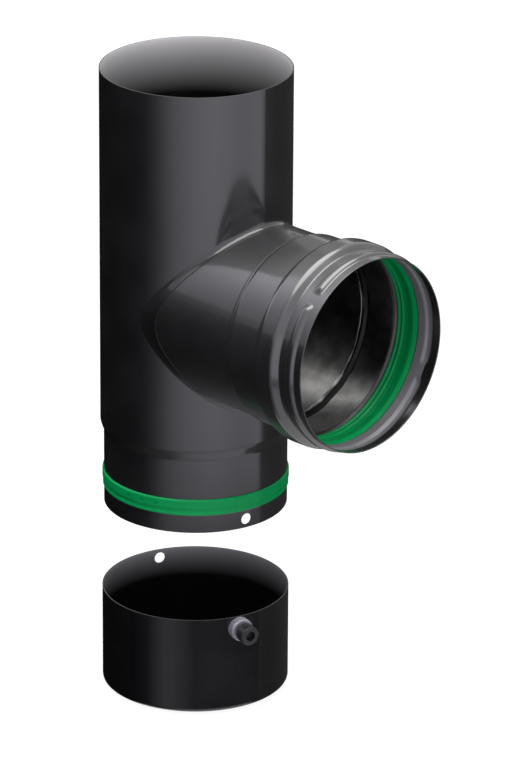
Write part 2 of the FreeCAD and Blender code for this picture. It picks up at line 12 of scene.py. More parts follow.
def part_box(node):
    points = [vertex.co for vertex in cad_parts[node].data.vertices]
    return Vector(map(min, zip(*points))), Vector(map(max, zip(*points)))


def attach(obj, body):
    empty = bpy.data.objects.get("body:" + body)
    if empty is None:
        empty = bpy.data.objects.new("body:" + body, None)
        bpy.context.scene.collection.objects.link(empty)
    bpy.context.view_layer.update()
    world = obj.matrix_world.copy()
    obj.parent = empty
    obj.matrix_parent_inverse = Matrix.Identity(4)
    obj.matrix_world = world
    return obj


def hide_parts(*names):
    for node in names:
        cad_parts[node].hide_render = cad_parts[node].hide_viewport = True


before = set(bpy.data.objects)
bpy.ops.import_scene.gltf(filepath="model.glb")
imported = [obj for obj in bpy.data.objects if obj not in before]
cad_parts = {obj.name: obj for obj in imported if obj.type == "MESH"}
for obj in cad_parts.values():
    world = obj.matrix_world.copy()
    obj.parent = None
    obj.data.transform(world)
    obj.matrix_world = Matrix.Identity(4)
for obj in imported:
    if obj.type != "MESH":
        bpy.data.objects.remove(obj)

LOG = logging.getLogger("tee")
MM = 0.001
WHITE = (1.0, 1.0, 1.0)
PAINT_TINT = (0.925, 0.905, 1.0)
SOFT_STEP = (0.3, 0.7)
Triple = tuple[float, float, float]
Colour = Triple
Span = tuple[float, float]


class Along(Enum):
    """Centre line that a sheet is rolled about."""

    RUN = "run"
    BRANCH = "branch"
    CAP = "cap"


@dataclass(frozen=True)
class Tee:
    """Sizes that the seams and masks take from the tee, in metres."""

    neck_radius: float = 39.3 * MM
    wall: float = 0.5 * MM
    lip_seam: float = 42.5 * MM
    socket_seam: float = 57.75 * MM
    heat: Span = (58.4 * MM, 60.9 * MM)
    # Where the socket's inner face gets painted shade: a near-black ring in the gap at the gasket's inner
    # edge.
    gasket_gap_shade: Span = (74.9 * MM, 77.4 * MM)
    # Where the socket's inner face is given a grey colour that stands for the sheen of its black paint: a
    # painted sheen.
    painted_sheen_band: Span = (88.0 * MM, 110.0 * MM)
    paint_reach: float = 95.8 * MM
    branch_zone: float = -50.0 * MM
    top: float = 98.7 * MM
    cap_rim: float = -131.6 * MM


TEE = Tee()


@dataclass
class NodeGraph:
    """Small helper that adds and links shader nodes in one tree."""

    tree: bpy.types.NodeTree

    def add(self, kind: str, **settings: object) -> bpy.types.Node:
        """Add a node.

        Args:
            kind: Blender's node type name.
            settings: attributes to set on the node.

        Returns:
            The new node.
        """
        node = self.tree.nodes.new(kind)
        for name, value in settings.items():
            setattr(node, name, value)
        return node

    def put(self, value: object, socket: bpy.types.NodeSocket) -> None:
        """Link a socket, or set a plain value, on an input socket.

        Args:
            value: an output socket or a plain value.
            socket: the input socket.
        """
        if isinstance(value, bpy.types.NodeSocket):
            self.tree.links.new(value, socket)
        else:
            socket.default_value = value

    def math(self, operation: str, *values: object, clamp: bool = False) -> bpy.types.NodeSocket:
        """Add a Math node.

        Args:
            operation: the operation's name.
            values: sockets or numbers for its inputs.
            clamp: whether the result stays from 0 to 1.

        Returns:
            Its output socket.
        """
        node = self.add("ShaderNodeMath", operation=operation, use_clamp=clamp)
        for socket, value in zip(node.inputs, values):
            self.put(value, socket)
        return node.outputs[0]

    def ramp(self, value: object, low: float, high: float) -> bpy.types.NodeSocket:
        """Smooth step of a value.

        Args:
            value: the socket to read.
            low: where the result is 0.
            high: where the result is 1.

        Returns:
            A socket from 0 to 1.
        """
        node = self.add("ShaderNodeMapRange", interpolation_type="SMOOTHSTEP")
        for name, number in (("From Min", low), ("From Max", high)):
            node.inputs[name].default_value = number
        self.put(value, node.inputs["Value"])
        return node.outputs["Result"]

    def mix(self, factor: object, first: object, second: object) -> bpy.types.NodeSocket:
        """Mix two colours.

        Args:
            factor: share of the second colour.
            first: colour or socket at 0.
            second: colour or socket at 1.

        Returns:
            The colour socket.
        """
        node = self.add("ShaderNodeMix", data_type="RGBA")
        self.put(factor, node.inputs[0])
        for socket, colour in ((node.inputs[6], first), (node.inputs[7], second)):
            self.put(colour if isinstance(colour, bpy.types.NodeSocket) else (*colour, 1.0), socket)
        return node.outputs[2]

    def blend(self, factor: object, first: object, second: object) -> bpy.types.NodeSocket:
        """Mix two numbers.

        Args:
            factor: share of the second number.
            first: number or socket at 0.
            second: number or socket at 1.

        Returns:
            The value socket.
        """
        node = self.add("ShaderNodeMix", data_type="FLOAT")
        for socket, value in zip(node.inputs[:1] + node.inputs[2:4], (factor, first, second)):
            self.put(value, socket)
        return node.outputs[0]

    def noise(self, vector: object, scale: float, detail: float = 2.0) -> bpy.types.NodeSocket:
        """Noise over the surface.

        Args:
            vector: coordinates.
            scale: noise scale per metre.
            detail: octaves.

        Returns:
            The value socket.
        """
        node = self.add("ShaderNodeTexNoise")
        node.inputs["Scale"].default_value = scale
        node.inputs["Detail"].default_value = detail
        self.put(vector, node.inputs["Vector"])
        return node.outputs["Fac"]


def new_group(name: str, inputs: dict[str, float], outputs: tuple[str, ...]
              ) -> tuple[bpy.types.NodeTree, NodeGraph, bpy.types.Node, bpy.types.Node]:
    """Start a shader node group with float sockets.

    Args:
        name: the group's name.
        inputs: input names and their usual values.
        outputs: output names.

    Returns:
        The group, its graph, its input node and its output node.
    """
    tree = bpy.data.node_groups.new(name, "ShaderNodeTree")
    for title, usual in inputs.items():
        socket = tree.interface.new_socket(name=title, in_out="INPUT", socket_type="NodeSocketFloat")
        socket.default_value = usual
    for title in outputs:
        tree.interface.new_socket(name=title, in_out="OUTPUT", socket_type="NodeSocketFloat")
    graph = NodeGraph(tree)
    return tree, graph, graph.add("NodeGroupInput"), graph.add("NodeGroupOutput")


class Effects:
    """Node groups that several finishes share."""

    FACING = (-4.0 * MM, -9.0 * MM)
    PEEL_SCALE = 1500.0
    GLOSS_SCALE = 45.0
    STREAK_SCALE = 260.0
    STAIN_SCALE = 70.0
    STAIN_STEP = (0.35, 0.68)

    def __init__(self) -> None:
        """Build each group once."""
        self.facing = self._facing()
        self.peel = self._peel()
        self.streaks = self._streaks()

    @staticmethod
    def _facing() -> bpy.types.NodeTree:
        """Mask that is 1 where a duct's wall faces inwards.

        Returns:
            Group with weights for the three axes, the height under which the upward weight
            stops, and how far along the branch the mask reaches.
        """
        inputs = {"Weight X": 1.0, "Weight Y": 1.0, "Weight Z": 1.0, "Least Height": -1.0, "Reach": 1.0}
        tree, graph, given, out = new_group("inward_facing", inputs, ("Mask",))
        coords = graph.add("ShaderNodeTexCoord")
        place = graph.add("ShaderNodeSeparateXYZ")
        normal = graph.add("ShaderNodeSeparateXYZ")
        graph.put(coords.outputs["Object"], place.inputs[0])
        graph.put(coords.outputs["Normal"], normal.inputs[0])
        high = graph.math("GREATER_THAN", place.outputs[2], given.outputs["Least Height"])
        total: object = 0.0
        for number, axis in enumerate("XYZ"):
            weight = given.outputs[f"Weight {axis}"]
            if axis == "Z":
                weight = graph.math("MULTIPLY", weight, high)
            term = graph.math("MULTIPLY", place.outputs[number], normal.outputs[number])
            total = graph.math("ADD", total, graph.math("MULTIPLY", term, weight))
        inward = graph.ramp(total, *Effects.FACING)
        near = graph.math("LESS_THAN", place.outputs[0], given.outputs["Reach"])
        graph.put(graph.math("MULTIPLY", inward, near), out.inputs["Mask"])
        return tree

    @staticmethod
    def _peel() -> bpy.types.NodeTree:
        """Orange peel of sprayed paint and soft unevenness of its gloss.

        Returns:
            Group that gives a height and a gloss value.
        """
        tree, graph, given, out = new_group("spray_peel", {"Grain": 1.0}, ("Height", "Gloss"))
        place = graph.add("ShaderNodeTexCoord").outputs["Object"]
        fine = graph.noise(place, Effects.PEEL_SCALE)
        broad = graph.noise(place, Effects.GLOSS_SCALE, 3.0)
        graph.put(graph.math("MULTIPLY", fine, given.outputs["Grain"]), out.inputs["Height"])
        graph.put(graph.ramp(broad, *SOFT_STEP), out.inputs["Gloss"])
        return tree

    @staticmethod
    def _streaks() -> bpy.types.NodeTree:
        """Drawing lines and stains of bare rolled sheet.

        Returns:
            Group with stretch factors for the axes that gives streaks and stains.
        """
        inputs = {"Stretch X": 1.0, "Stretch Y": 1.0, "Stretch Z": 1.0}
        tree, graph, given, out = new_group("rolled_sheet", inputs, ("Streak", "Stain"))
        place = graph.add("ShaderNodeTexCoord").outputs["Object"]
        split, joined = graph.add("ShaderNodeSeparateXYZ"), graph.add("ShaderNodeCombineXYZ")
        graph.put(place, split.inputs[0])
        for number, axis in enumerate("XYZ"):
            stretch = given.outputs[f"Stretch {axis}"]
            graph.put(graph.math("MULTIPLY", split.outputs[number], stretch), joined.inputs[number])
        stain = graph.noise(place, Effects.STAIN_SCALE, 5.0)
        graph.put(graph.noise(joined.outputs[0], Effects.STREAK_SCALE, 4.0), out.inputs["Streak"])
        graph.put(graph.ramp(stain, *Effects.STAIN_STEP), out.inputs["Stain"])
        return tree


@dataclass(frozen=True)
class Finish:
    """A finish: plain values that its material spreads over the surface."""

    name: str
    colour: Colour
    shade: Colour
    roughness: Span
    metallic: float = 0.0
    grain_scale: float = 900.0
    grain: float = 0.02
    specular: float = 0.5
    patch_share: float = 0.125

    def start(self) -> tuple[bpy.types.Material, NodeGraph, bpy.types.Node]:
        """Make an empty material with its Principled shader.

        Returns:
            The material, its graph and the shader node.
        """
        material = bpy.data.materials.new(self.name)
        material.use_nodes = True
        graph = NodeGraph(material.node_tree)
        return material, graph, material.node_tree.nodes["Principled BSDF"]

    def material(self) -> bpy.types.Material:
        """Material with a soft change of colour and gloss and a fine grain.

        Returns:
            The material.
        """
        material, graph, shader = self.start()
        place = graph.add("ShaderNodeTexCoord").outputs["Object"]
        patch = graph.ramp(graph.noise(place, self.grain_scale * self.patch_share, 3.0), *SOFT_STEP)
        graph.put(graph.mix(patch, self.colour, self.shade), shader.inputs["Base Color"])
        graph.put(graph.blend(patch, *self.roughness), shader.inputs["Roughness"])
        shader.inputs["Metallic"].default_value = self.metallic
        shader.inputs["Specular IOR Level"].default_value = self.specular
        bump = graph.add("ShaderNodeBump")
        bump.inputs["Strength"].default_value = self.grain
        bump.inputs["Distance"].default_value = MM
        graph.put(graph.noise(place, self.grain_scale), bump.inputs["Height"])
        graph.put(bump.outputs[0], shader.inputs["Normal"])
        return material


@dataclass(frozen=True)
class SheetFinish(Finish):
    """Black stove paint outside, with bare stainless sheet where the duct's wall faces inwards; inside,
    painted shade darkens the walls with depth and a grey painted sheen lies near the socket's mouth.
    """

    along: Along = Along.RUN
    bare: Colour = (0.25, 0.247, 0.243)
    stained: Colour = (0.10, 0.098, 0.095)
    heated: Colour = (0.014, 0.013, 0.012)
    # The pale colour is the lit top of the run's inner wall, and the near-black one below it is painted
    # shade. Together they paint the light falling off down the tube. The near-black also paints the shade in
    # the cap and in the gasket gap.
    pale: Colour = (0.88, 0.87, 0.86)
    painted_shade_black: Colour = (0.002, 0.002, 0.002)
    # Lit grey at the rim of the cap's inside: painted light, the top of a painted shade that darkens deeper
    # in.
    painted_cap_rim_light: Colour = (0.34, 0.333, 0.34)
    # Grey that stands for the sheen of the black paint near the socket's mouth: a painted sheen.
    painted_sheen: Colour = (0.12, 0.117, 0.123)
    bare_roughness: Span = (0.28, 0.42)
    coat_roughness: float = 0.13
    # How deep the painted shade inside the run reaches, and how fast it darkens.
    painted_shade_depth: float = 24.0 * MM
    painted_shade_power: float = 0.42
    rim_metal: float = 0.3
    heat_wander: float = 3.0 * MM
    wander_scale: float = 90.0
    streak_stretch: float = 0.06
    # Depth over which the painted shade darkens the cap's inside.
    cap_depth: float = 13.0 * MM
    soft: float = 0.4 * MM

    def inward(self, graph: NodeGraph, effects: Effects) -> object:
        """Mask of the bare sheet.

        Args:
            graph: the material's graph.
            effects: the shared groups.

        Returns:
            A socket from 0 to 1.
        """
        group = graph.add("ShaderNodeGroup", node_tree=effects.facing)
        if self.along is Along.CAP:
            weights, reach = (1.0, 1.0, 0.0), 1.0
        elif self.along is Along.RUN:
            weights, reach = (1.0, 2.0, 1.0), 1.0
            group.inputs["Least Height"].default_value = TEE.branch_zone
        else:
            weights, reach = (0.0, 1.0, 1.0), TEE.paint_reach
        for axis, weight in zip("XYZ", weights):
            group.inputs[f"Weight {axis}"].default_value = weight
        group.inputs["Reach"].default_value = reach
        return group.outputs["Mask"]

    def band(self, graph: NodeGraph, reach: Span, wander: float = 0.0) -> bpy.types.NodeSocket:
        """Mask of a stretch along the branch, with an edge that may wander.

        Args:
            graph: the material's graph.
            reach: where the stretch starts and ends.
            wander: how far its edges stray.

        Returns:
            A socket from 0 to 1.
        """
        place = graph.add("ShaderNodeTexCoord").outputs["Object"]
        split = graph.add("ShaderNodeSeparateXYZ")
        graph.put(place, split.inputs[0])
        swing = graph.math("SUBTRACT", graph.noise(place, self.wander_scale), 0.5)
        stray = graph.math("MULTIPLY", swing, wander)
        moved = graph.math("SUBTRACT", graph.math("ADD", split.outputs[0], stray), (reach[0] + reach[1]) / 2)
        half = (reach[1] - reach[0]) / 2
        return graph.ramp(graph.math("ABSOLUTE", moved), half + self.soft, half - self.soft)

    def painted_depth_shade(self, graph: NodeGraph, rim: float, depth: float) -> bpy.types.NodeSocket:
        """Mask of painted shade inside an upright wall: 0 at its upper rim and 1 at the given depth below it,
        so that the colour darkens with depth as shade does.

        Args:
            graph: the material's graph.
            rim: height of the rim.
            depth: how far below it the wall is fully dark.

        Returns:
            A socket from 0 to 1.
        """
        split = graph.add("ShaderNodeSeparateXYZ")
        graph.put(graph.add("ShaderNodeTexCoord").outputs["Object"], split.inputs[0])
        level = graph.add("ShaderNodeMapRange")
        for name, number in (("From Min", rim), ("From Max", rim - depth)):
            level.inputs[name].default_value = number
        graph.put(split.outputs[2], level.inputs["Value"])
        return graph.math("POWER", level.outputs["Result"], self.painted_shade_power)

    def inside(self, graph: NodeGraph, mask: object, steel: object) -> tuple[bpy.types.NodeSocket, object]:
        """Colour and metal of the sheet's inner face, with its painted shade and painted sheen.

        Args:
            graph: the material's graph.
            mask: mask of the inner face.
            steel: colour of the bare sheet.

        Returns:
            The colour and the metallic value.
        """
        if self.along is Along.RUN:
            # Run: pale at the top rim to near black deeper in, painted shade for the light that falls off
            # down the tube; the metal shows only a little.
            return (graph.mix(self.painted_depth_shade(graph, TEE.top, self.painted_shade_depth), self.pale, self.painted_shade_black),
                    graph.math("MULTIPLY", mask, self.rim_metal))
        if self.along is Along.CAP:
            # Cap: lit grey at the rim to near black deeper in, painted shade inside the cup; no metal.
            return graph.mix(self.painted_depth_shade(graph, TEE.cap_rim, self.cap_depth), self.painted_cap_rim_light, self.painted_shade_black), 0.0
        steel = graph.mix(self.band(graph, TEE.heat, self.heat_wander), steel, self.heated)
        # Near-black ring of painted shade in the gap at the gasket's inner edge, where shade falls.
        gap_shade, painted_sheen = self.band(graph, TEE.gasket_gap_shade), self.band(graph, TEE.painted_sheen_band)
        # Past the gasket, a grey that stands for the sheen of the black paint: a painted sheen. Both painted
        # zones lose their metal.
        steel = graph.mix(painted_sheen, graph.mix(gap_shade, steel, self.painted_shade_black), self.painted_sheen)
        painted_light_zones = graph.math("MAXIMUM", gap_shade, painted_sheen)
        return steel, graph.math("MULTIPLY", mask, graph.math("SUBTRACT", 1.0, painted_light_zones))

    def dress(self, effects: Effects) -> bpy.types.Material:
        """Material of one rolled sheet.

        Args:
            effects: the shared groups.

        Returns:
            The material.
        """
        material, graph, shader = self.start()
        mask = self.inward(graph, effects)
        peel = graph.add("ShaderNodeGroup", node_tree=effects.peel)
        lines = graph.add("ShaderNodeGroup", node_tree=effects.streaks)
        axis = "X" if self.along is Along.BRANCH else "Z"
        lines.inputs[f"Stretch {axis}"].default_value = self.streak_stretch
        paint = graph.mix(peel.outputs["Gloss"], self.colour, self.shade)
        steel = graph.mix(lines.outputs["Stain"], self.bare, self.stained)
        steel, metal = self.inside(graph, mask, steel)
        graph.put(graph.mix(mask, paint, steel), shader.inputs["Base Color"])
        graph.put(metal, shader.inputs["Metallic"])
        graph.put(graph.math("SUBTRACT", 1.0, mask), shader.inputs["Coat Weight"])
        shader.inputs["Coat Roughness"].default_value = self.coat_roughness
        shader.inputs["Specular IOR Level"].default_value = self.specular
        painted = graph.blend(peel.outputs["Gloss"], *self.roughness)
        bare = graph.blend(lines.outputs["Streak"], *self.bare_roughness)
        graph.put(graph.blend(mask, painted, bare), shader.inputs["Roughness"])
        bump = graph.add("ShaderNodeBump")
        bump.inputs["Strength"].default_value = self.grain
        bump.inputs["Distance"].default_value = MM
        graph.put(graph.blend(mask, peel.outputs["Height"], lines.outputs["Streak"]), bump.inputs["Height"])
        graph.put(bump.outputs[0], shader.inputs["Normal"])
        return material


def mesh_piece(name: str, points: list[Vector], faces: list[tuple[int, ...]]) -> bpy.types.Object:
    """Make a smooth mesh object from points and faces.

    Args:
        name: the piece's name.
        points: its corners, in metres.
        faces: corner numbers of each face.

    Returns:
        The object, linked to the scene.
    """
    mesh = bpy.data.meshes.new(name)
    mesh.from_pydata(points, [], faces)
    shape = bmesh.new()
    shape.from_mesh(mesh)
    bmesh.ops.recalc_face_normals(shape, faces=shape.faces)
    shape.to_mesh(mesh)
    shape.free()
    for polygon in mesh.polygons:
        polygon.use_smooth = True
    piece = bpy.data.objects.new(name, mesh)
    bpy.context.scene.collection.objects.link(piece)
    return piece


def give(piece: bpy.types.Object, material: bpy.types.Material) -> None:
    """Put one material on all of a piece.

    Args:
        piece: the mesh object.
        material: its material.
    """
    if piece.material_slots:
        for slot in piece.material_slots:
            slot.link = "OBJECT"
            slot.material = material
    else:
        piece.data.materials.append(material)


@dataclass(frozen=True)
class Sheen:
    """How a sheet's paint shines: roughness and specular level of the base, roughness of the coat."""

    roughness: Span
    specular: float
    coat: float


@dataclass
class Steelwork:
    """The rolled and drawn sheets of the tee and its cap."""

    effects: Effects
    paint: Colour = (0.0024, 0.0023, 0.0027)
    paint_shade: Colour = (0.0034, 0.0033, 0.0037)
    sheens: dict[Along, Sheen] = field(default_factory=lambda: {
        Along.RUN: Sheen((0.40, 0.48), 0.32, 0.13), Along.BRANCH: Sheen((0.40, 0.48), 0.6, 0.14),
        Along.CAP: Sheen((0.24, 0.30), 0.15, 0.07)})
    places: dict[str, Along] = field(default_factory=lambda: {
        "run_tube": Along.RUN, "branch_neck": Along.BRANCH, "branch_socket": Along.BRANCH,
        "cap_shell": Along.CAP})

    def dress(self) -> dict[str, bpy.types.Material]:
        """Give each sheet its finish.

        Returns:
            The material of each node.
        """
        made = {}
        for node, along in self.places.items():
            sheen = self.sheens[along]
            finish = SheetFinish(f"{node}_steel", self.paint, self.paint_shade, sheen.roughness, along=along,
                                 specular=sheen.specular, coat_roughness=sheen.coat)
            made[node] = finish.dress(self.effects)
            give(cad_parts[node], made[node])
            LOG.info("%s: black stove paint along the %s", node, along.value)
        return made


@dataclass
class Gaskets:
    """The two moulded silicone rings."""

    finish: Finish = Finish("green_silicone_rubber", (0.0, 0.23, 0.058), (0.0, 0.20, 0.05), (0.38, 0.46),
                            grain_scale=1400.0, grain=0.03, specular=0.12)

    def dress(self) -> None:
        """Give both rings the silicone."""
        material = self.finish.material()
        for node in ("branch_gasket", "spigot_gasket"):
            give(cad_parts[node], material)
            LOG.info("%s: green silicone", node)


@dataclass(frozen=True)
class Bend:
    """Bend of the socket's outside in millimetres: place, radius, lean of its flank, inside radius, crest."""

    place: float
    radius: float
    lean: int = 0
    inside: float = 0.8
    crest: bool = False


@dataclass
class SocketSheet:
    """Rolled socket with its two pushed-in bayonet notches, which stands for the CAD socket."""

    bends: tuple[Bend, ...] = (
        Bend(57.75, 39.3), Bend(58.95, 39.3, 1), Bend(60.35, 40.7, 1, crest=True), Bend(75.05, 40.7, 1),
        Bend(77.85, 43.5, 1, 2.4, True), Bend(86.45, 43.5, -1, 2.4, True), Bend(88.95, 41.0, -1),
        Bend(92.55, 41.0, 1), Bend(93.65, 42.1, 1, 1.4, True), Bend(96.25, 42.1, -1, 1.4, True),
        Bend(97.35, 41.0, -1), Bend(100.95, 41.0))
    wall: float = 0.5
    waist: float = 41.0
    bead: Span = (92.0, 97.9)
    notches: Span = (-26.5, 132.5)
    notch_floor: float = 2.6
    notch_flank: float = 5.2
    edge: float = 0.08
    arc: int = 5
    turn: float = 2.0
    fine_turn: float = 0.5

    def side(self, inner: bool) -> list[Vector]:
        """Points of one side of the sheet, from its seam to its edge.

        Args:
            inner: whether the side faces the branch's centre line.

        Returns:
            Points of place and radius, in millimetres.
        """
        shift = self.wall * math.tan(math.pi / 8) if inner else 0.0
        corners = []
        for bend in self.bends:
            spot = Vector((bend.place + shift * bend.lean, bend.radius - (self.wall if inner else 0.0)))
            corners.append((spot, bend.inside + (self.wall if bend.crest != inner else 0.0)))
        ease = Vector((self.edge, 0.0))
        points = [corners[0][0] + ease, corners[0][0] + 2 * ease]
        for before, (corner, reach), after in zip(corners, corners[1:], corners[2:]):
            back, ahead = (before[0] - corner).normalized(), (after[0] - corner).normalized()
            half = back.angle(ahead) / 2
            centre = corner + (back + ahead).normalized() * reach / math.sin(half)
            start = corner + back * reach / math.tan(half) - centre
            end = corner + ahead * reach / math.tan(half) - centre
            points.append(centre + start + back * self.edge)
            points += [centre + start.lerp(end, step / self.arc).normalized() * reach
                       for step in range(self.arc + 1)]
            points.append(centre + end + ahead * self.edge)
        return points + [corners[-1][0] - 2 * ease, corners[-1][0] - ease]

    def section(self) -> list[tuple[float, float, float]]:
        """Closed outline of the sheet.

        Returns:
            Place, radius and the radius that a notch presses the point back to, in millimetres.
        """
        outer, inner = self.side(False), self.side(True)
        drop = Vector((0.0, self.edge))
        first, last = self.bends[0], self.bends[-1]
        rims = [[Vector((bend.place, bend.radius)) - drop,
                 Vector((bend.place, bend.radius - self.wall)) + drop] for bend in (last, first)]
        loop = [(point, self.waist) for point in outer] + [(point, 0.0) for point in rims[0]]
        loop += [(point, self.waist - self.wall) for point in reversed(inner)]
        loop += [(point, 0.0) for point in reversed(rims[1])]
        return [(point.x, point.y, floor if floor and self.bead[0] < point.x < self.bead[1] else point.y)
                for point, floor in loop]

    def pressed(self, angle: float) -> float:
        """Share of the bead that a notch takes away.

        Args:
            angle: degrees from +Y towards +Z.

        Returns:
            A number from 0 to 1.
        """
        away = min(abs((angle - notch + 180.0) % 360.0 - 180.0) for notch in self.notches)
        share = min(max((self.notch_floor + self.notch_flank - away) / self.notch_flank, 0.0), 1.0)
        return share * share * (3.0 - 2.0 * share)

    def angles(self) -> list[float]:
        """Degrees of the sections: a coarse ring, with finer steps over the notches."""
        coarse = [self.turn * step for step in range(round(360.0 / self.turn))]
        reach = round((self.notch_floor + self.notch_flank) / self.fine_turn) + 1
        fine = [(notch + self.fine_turn * step) % 360.0
                for notch in self.notches for step in range(-reach, reach + 1)]
        return sorted({round(angle, 3) for angle in coarse + fine})

    def build(self, material: bpy.types.Material) -> None:
        """Make the sheet and let it stand for the CAD socket.

        Args:
            material: the sheet's finish.
        """
        outline, angles = self.section(), self.angles()
        points, faces = [], []
        for angle in angles:
            share, turned = self.pressed(angle), math.radians(angle)
            for place, radius, floor in outline:
                reach = radius + share * (floor - radius)
                points.append(Vector((place, reach * math.cos(turned), reach * math.sin(turned))) * MM)
        count = len(outline)
        for ring in range(len(angles)):
            after = (ring + 1) % len(angles)
            for spot in range(count):
                beside = (spot + 1) % count
                faces.append((ring * count + spot, after * count + spot, after * count + beside,
                              ring * count + beside))
        piece = mesh_piece("socket_sheet", points, faces)
        give(piece, material)
        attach(piece, "tee")
        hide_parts("branch_socket")
        LOG.info("socket_sheet: %d sections with two notches", len(angles))


@dataclass
class WeldSeams:
    """Weld beads round the branch: slim and painted outside, uneven and bare inside."""

    steps: int = 260
    around: int = 10
    seed: float = 3.7
    waves: float = 9.0
    drift_seed: Vector = field(default_factory=lambda: Vector((5.0, 0.0, 0.0)))
    paint: Finish = Finish("seam_paint", (0.0045, 0.0045, 0.005), (0.006, 0.006, 0.0065), (0.3, 0.4))
    steel: Finish = Finish("seam_bare_steel", (0.45, 0.44, 0.43), (0.03, 0.03, 0.03), (0.3, 0.5),
                           metallic=1.0, grain_scale=700.0, grain=0.2)

    def saddle(self, angle: float, radius: float) -> Vector:
        """Point of the seam between lip and neck.

        Args:
            angle: angle round the branch.
            radius: distance from the branch's centre line.

        Returns:
            The point.
        """
        across = radius * math.cos(angle)
        return Vector((math.sqrt(TEE.lip_seam ** 2 - across ** 2), across, radius * math.sin(angle)))

    def ring(self, angle: float, radius: float) -> Vector:
        """Point of the seam between neck and socket.

        Args:
            angle: angle round the branch.
            radius: distance from the branch's centre line.

        Returns:
            The point.
        """
        return Vector((TEE.socket_seam, radius * math.cos(angle), radius * math.sin(angle)))

    def bead(self, name: str, path: object, radius: float, wide: float, high: float,
             uneven: float) -> bpy.types.Object:
        """Sweep a flat oval along a seam.

        Args:
            name: the piece's name.
            path: function that gives the seam's points.
            radius: distance of the seam's middle from the branch's centre line.
            wide: half the bead's width.
            high: half the bead's height.
            uneven: how much the bead swells and wanders, as a share.

        Returns:
            The bead.
        """
        points, faces = [], []
        for step in range(self.steps):
            angle = 2 * math.pi * step / self.steps
            spot = Vector((math.cos(angle), math.sin(angle), self.seed)) * self.waves
            swell = 1.0 + uneven * noise.noise(spot)
            drift = uneven * wide * noise.noise(spot + self.drift_seed)
            centre = path(angle, radius)
            outward = Vector((0.0, math.cos(angle), math.sin(angle)))
            for turn in range(self.around):
                t = 2 * math.pi * turn / self.around
                along = Vector((math.cos(t) * wide * swell + drift, 0.0, 0.0))
                points.append(centre + along + outward * math.sin(t) * high * swell)
        for step in range(self.steps):
            after = (step + 1) % self.steps
            for turn in range(self.around):
                beside = (turn + 1) % self.around
                faces.append((step * self.around + turn, after * self.around + turn,
                              after * self.around + beside, step * self.around + beside))
        return mesh_piece(name, points, faces)

    def build(self) -> None:
        """Make the beads and let them ride on the tee."""
        outside, inside = self.paint.material(), self.steel.material()
        inner = TEE.neck_radius - TEE.wall
        made = (
            ("seam_lip_outside", self.saddle, TEE.neck_radius, 0.35 * MM, 0.10 * MM, 0.2, outside),
            ("seam_socket_outside", self.ring, TEE.neck_radius, 0.35 * MM, 0.10 * MM, 0.2, outside),
            ("seam_lip_inside", self.saddle, inner, 0.5 * MM, 0.14 * MM, 0.6, inside),
            ("seam_socket_inside", self.ring, inner, 0.6 * MM, 0.16 * MM, 0.7, inside),
        )
        for name, path, radius, wide, high, uneven, material in made:
            piece = self.bead(name, path, radius, wide, high, uneven)
            give(piece, material)
            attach(piece, "tee")
            LOG.info("%s: weld seam", name)


@dataclass
class CapLock:
    """Weld nut and locking screw on the cap."""

    zinc: Finish = Finish("zinc_plate", (0.27, 0.26, 0.29), (0.20, 0.195, 0.22), (0.42, 0.52), metallic=0.4,
                          grain_scale=2200.0, grain=0.1)
    oxide: Finish = Finish("black_oxide", (0.006, 0.006, 0.007), (0.012, 0.012, 0.013), (0.36, 0.5),
                           metallic=0.2, grain_scale=2600.0, grain=0.08)

    def dress(self) -> None:
        """Give nut and screw their finishes."""
        for node, finish in (("cap_nut", self.zinc), ("cap_screw", self.oxide)):
            give(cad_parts[node], finish.material())
            LOG.info("%s: %s", node, finish.name)


@dataclass
class Card:
    """A curved card round the object: a soft light, or a dark flag where it is weak.

    Azimuths are degrees to the right of the camera, as seen from the object's axis.
    """

    name: str
    azimuth: Span
    height: Span
    stops: tuple[Span, ...]
    tint: Colour = WHITE
    radius: Span = (1.6, 1.6)
    segments: int = 32

    def build(self, camera_azimuth: float) -> bpy.types.Object:
        """Make the card, hidden from the camera.

        Args:
            camera_azimuth: where the camera stands, in the frame's degrees.

        Returns:
            The card.
        """
        points, faces = [], []
        for step in range(self.segments + 1):
            share = step / self.segments
            turn = self.azimuth[0] + share * (self.azimuth[1] - self.azimuth[0])
            angle = math.radians(camera_azimuth + turn)
            for reach, z in zip(self.radius, self.height):
                points.append(Vector((reach * math.cos(angle), reach * math.sin(angle), z)))
        for step in range(self.segments):
            faces.append((2 * step, 2 * step + 1, 2 * step + 3, 2 * step + 2))
        card = mesh_piece(self.name, points, faces)
        layer = card.data.uv_layers.new(name="across")
        for loop in card.data.loops:
            layer.data[loop.index].uv = ((loop.vertex_index // 2) / self.segments, loop.vertex_index % 2)
        card.data.materials.append(self.glow())
        card.visible_camera = False
        return card

    def glow(self) -> bpy.types.Material:
        """Emission that changes across the card.

        Returns:
            The material.
        """
        material = bpy.data.materials.new(self.name)
        material.use_nodes = True
        graph = NodeGraph(material.node_tree)
        material.node_tree.nodes.clear()
        peak = max(strength for place, strength in self.stops)
        split, ramp = graph.add("ShaderNodeSeparateXYZ"), graph.add("ShaderNodeValToRGB")
        graph.put(graph.add("ShaderNodeTexCoord").outputs["UV"], split.inputs[0])
        graph.put(split.outputs[0], ramp.inputs["Fac"])
        while len(ramp.color_ramp.elements) < len(self.stops):
            ramp.color_ramp.elements.new(0.5)
        for element, (place, strength) in zip(ramp.color_ramp.elements, self.stops):
            element.position = place
            element.color = (*(strength / peak * channel for channel in self.tint), 1.0)
        emission, out = graph.add("ShaderNodeEmission"), graph.add("ShaderNodeOutputMaterial")
        graph.put(ramp.outputs["Color"], emission.inputs["Color"])
        emission.inputs["Strength"].default_value = peak
        graph.put(emission.outputs[0], out.inputs["Surface"])
        return material


